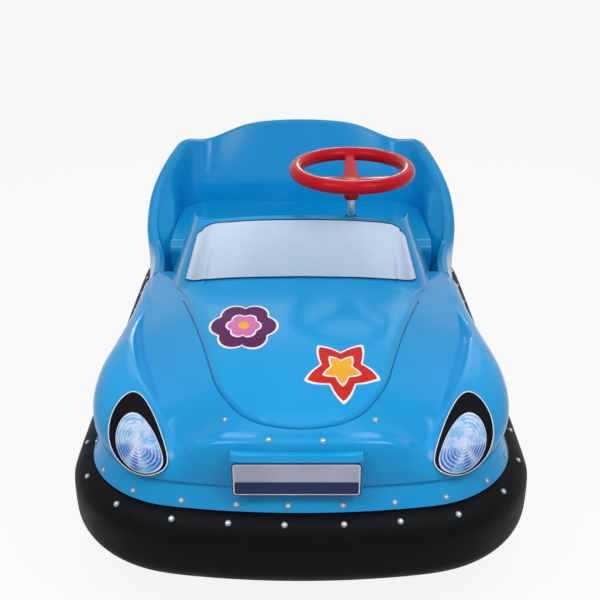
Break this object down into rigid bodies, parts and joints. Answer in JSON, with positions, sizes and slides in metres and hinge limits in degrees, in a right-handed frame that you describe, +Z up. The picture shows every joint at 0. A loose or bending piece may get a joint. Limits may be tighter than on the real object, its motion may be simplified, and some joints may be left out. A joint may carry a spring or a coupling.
{
  "type": "two-seat battery bumper car",
  "caption": "Two-seat bumper car with a moulded blue body, black rubber ring, steered front drive wheel, two rear wheels and a red steering wheel.",
  "frame": {"origin": "on the ground under the middle of the rubber ring", "axes": "+Z up, -Y to the front of the car, +X to the driver's side, which is the car's left"},
  "size_m": [1.18, 1.84, 0.873],
  "materials": {
    "blue_gelcoat": "glossy sky-blue gel coat on glass-fibre mouldings",
    "bumper_rubber": "black moulded rubber, satin",
    "tyre_rubber": "dark solid rubber",
    "bare_steel": "bright turned steel",
    "zinc_steel": "zinc plated steel",
    "frame_paint": "black satin frame paint",
    "pan_paint": "dark grey floor paint",
    "red_plastic": "glossy red plastic",
    "screen_film": "pale silver-white gloss panel with a dark edge line",
    "plate_film": "pale gloss plate with a navy edge and lower band, blank",
    "lamp_black": "gloss black oval with a white edge",
    "lamp_lens": "pale blue ribbed lens",
    "tail_lens": "red ribbed lens",
    "battery_case": "dark grey battery case"
  },
  "bodies": {
    "root": {"front_shell": "blue_gelcoat", "rear_shell": "blue_gelcoat", "seat_bench": "blue_gelcoat", "dash_panel": "blue_gelcoat", "footwell_liner": "frame_paint", "windscreen_panel": "screen_film", "plate_pad": "blue_gelcoat", "number_plate": "plate_film", "headlamp_bezel_left": "lamp_black", "headlamp_bezel_right": "lamp_black", "headlamp_lens_left": "lamp_lens", "headlamp_lens_right": "lamp_lens", "tail_lamp_left": "tail_lens", "tail_lamp_right": "tail_lens", "bumper_ring": "bumper_rubber", "bumper_carrier": "zinc_steel", "side_rail_left": "frame_paint", "side_rail_right": "frame_paint", "cross_member_front": "frame_paint", "cross_member_middle": "frame_paint", "cross_member_seat": "frame_paint", "cross_member_rear": "frame_paint", "drive_mount": "frame_paint", "floor_pan": "pan_paint", "battery_pack": "battery_case", "accelerator_pedal": "zinc_steel", "column_bearing_upper": "frame_paint", "column_bearing_lower": "frame_paint", "steering_chain": "zinc_steel", "rear_axle": "bare_steel", "axle_bracket_left": "frame_paint", "axle_bracket_right": "frame_paint"},
    "steering": {"steering_wheel": "red_plastic", "steering_column": "bare_steel", "steering_sprocket": "zinc_steel"},
    "drive_unit": {"drive_fork": "frame_paint", "drive_motor": "frame_paint", "drive_axle": "bare_steel", "drive_sprocket": "zinc_steel"},
    "drive_wheel": {"drive_hub": "zinc_steel", "drive_tyre": "tyre_rubber"},
    "rear_wheel_left": {"rear_hub_left": "zinc_steel", "rear_tyre_left": "tyre_rubber"},
    "rear_wheel_right": {"rear_hub_right": "zinc_steel", "rear_tyre_right": "tyre_rubber"}
  },
  "joints": [
    {"name": "drive_steer", "type": "hinge", "parent": "root", "child": "drive_unit", "pos_m": [0, -0.43, 0.19], "axis": [0, 0, 1], "continuous": true},
    {"name": "steering_turn", "type": "hinge", "parent": "root", "child": "steering", "pos_m": [0.147, -0.02, 0.5], "axis": [0, 0, 1], "continuous": true},
    {"name": "drive_wheel_spin", "type": "hinge", "parent": "drive_unit", "child": "drive_wheel", "pos_m": [0, -0.43, 0.08], "axis": [1, 0, 0], "continuous": true},
    {"name": "rear_left_spin", "type": "hinge", "parent": "root", "child": "rear_wheel_left", "pos_m": [0.37, 0.48, 0.08], "axis": [1, 0, 0], "continuous": true},
    {"name": "rear_right_spin", "type": "hinge", "parent": "root", "child": "rear_wheel_right", "pos_m": [-0.37, 0.48, 0.08], "axis": [1, 0, 0], "continuous": true}
  ],
  "couplings": [
    {"joint": "steering_turn", "follows": "drive_steer", "ratio": 1}
  ]
}
